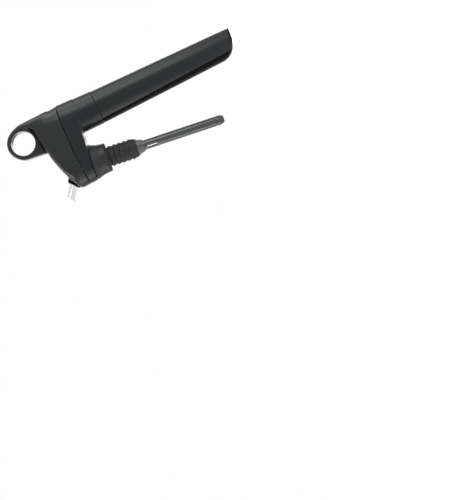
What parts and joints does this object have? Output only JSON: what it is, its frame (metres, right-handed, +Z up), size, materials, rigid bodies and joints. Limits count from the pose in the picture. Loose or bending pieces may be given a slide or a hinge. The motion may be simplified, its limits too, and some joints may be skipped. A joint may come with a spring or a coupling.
{
  "type": "wine preservation dispenser",
  "caption": "Hand-held gas dispenser that stands in a bottle's mouth: head with finger loop and clear spout, long capsule handle, flared stopper and a tube that reaches into the bottle.",
  "frame": {"origin": "middle of the bottle's lip plane, on the underside of the stopper's gasket", "axes": "+Z up along the bottle's axis, +X towards the handle and -X towards the spout, +Y to the right when looking from the handle to the spout"},
  "size_m": [0.1078, 0.0334, 0.2263],
  "materials": {
    "softblack": "fine matte grain, soft to the touch",
    "strip": "gloss black",
    "stopper": "satin dark grey",
    "white": "natural white",
    "tube": "satin dark grey",
    "clear": "clear, polished",
    "rubber": "black, matte",
    "silicone": "grey silicone",
    "steel": "bright, drawn",
    "aluminium": "satin, turned",
    "brass": "turned"
  },
  "bodies": {
    "stopper": {"stopper_collar": "stopper", "lip_gasket": "rubber", "stopper_core": "white", "stopper_plug": "rubber", "upper_tube_seal": "silicone", "lower_tube_seal": "silicone", "slit_valve": "silicone"},
    "head": {"head_body": "softblack", "head_cover": "softblack", "cover_screw_1": "steel", "cover_screw_2": "steel", "valve_body": "brass", "valve_spring": "steel", "feed_hose": "rubber", "gas_hose": "rubber", "regulator_body": "aluminium", "regulator_cap": "aluminium", "piercing_pin": "steel", "capsule_gasket": "silicone", "regulator_spring": "steel", "manifold": "white", "tube_ring": "rubber", "wine_tube": "tube", "gas_tube": "white", "tube_tip": "tube", "tip_valve": "silicone", "spout_collar": "strip"},
    "button": {"gas_button": "softblack", "valve_spool": "steel", "spool_ring_1": "rubber", "spool_ring_2": "rubber"},
    "piston": {"regulator_piston": "brass", "piston_ring": "rubber"},
    "capsule": {"argon_capsule": "steel"},
    "handle": {"capsule_cup": "aluminium", "cup_pad": "rubber", "handle_shell": "softblack", "handle_strip": "strip"},
    "nozzle": {"spout_nozzle": "clear", "nozzle_ring": "silicone"}
  },
  "joints": [
    {"name": "device_lift", "type": "slide", "parent": "stopper", "child": "head", "axis": [0, 0, 1], "range_m": [0, 0.13]},
    {"name": "button_press", "type": "slide", "parent": "head", "child": "button", "axis": [-0.9811, 0, -0.1933], "range_m": [0, 0.0025], "stiffness_N_per_m": 900, "springref_m": -0.001, "deforming": ["valve_spring"]},
    {"name": "piston_stroke", "type": "slide", "parent": "head", "child": "piston", "axis": [0.134, 0, -0.991], "range_m": [0, 0.0012], "stiffness_N_per_m": 3000, "springref_m": -0.001, "deforming": ["regulator_spring"]},
    {"name": "capsule_draw", "type": "slide", "parent": "head", "child": "capsule", "axis": [0.134, 0, -0.991], "range_m": [0, 0.009]},
    {"name": "handle_turn", "type": "hinge", "parent": "capsule", "child": "handle", "pos_m": [0.0471, 0, -0.0052], "axis": [0.134, 0, -0.991], "range_deg": [0, 1620]},
    {"name": "nozzle_pull", "type": "slide", "parent": "head", "child": "nozzle", "axis": [-0.8686, 0, 0.4955], "range_m": [0, 0.012]}
  ],
  "couplings": [
    {"joint": "capsule_draw", "follows": "handle_turn", "m_per_rad": 0.000318}
  ]
}
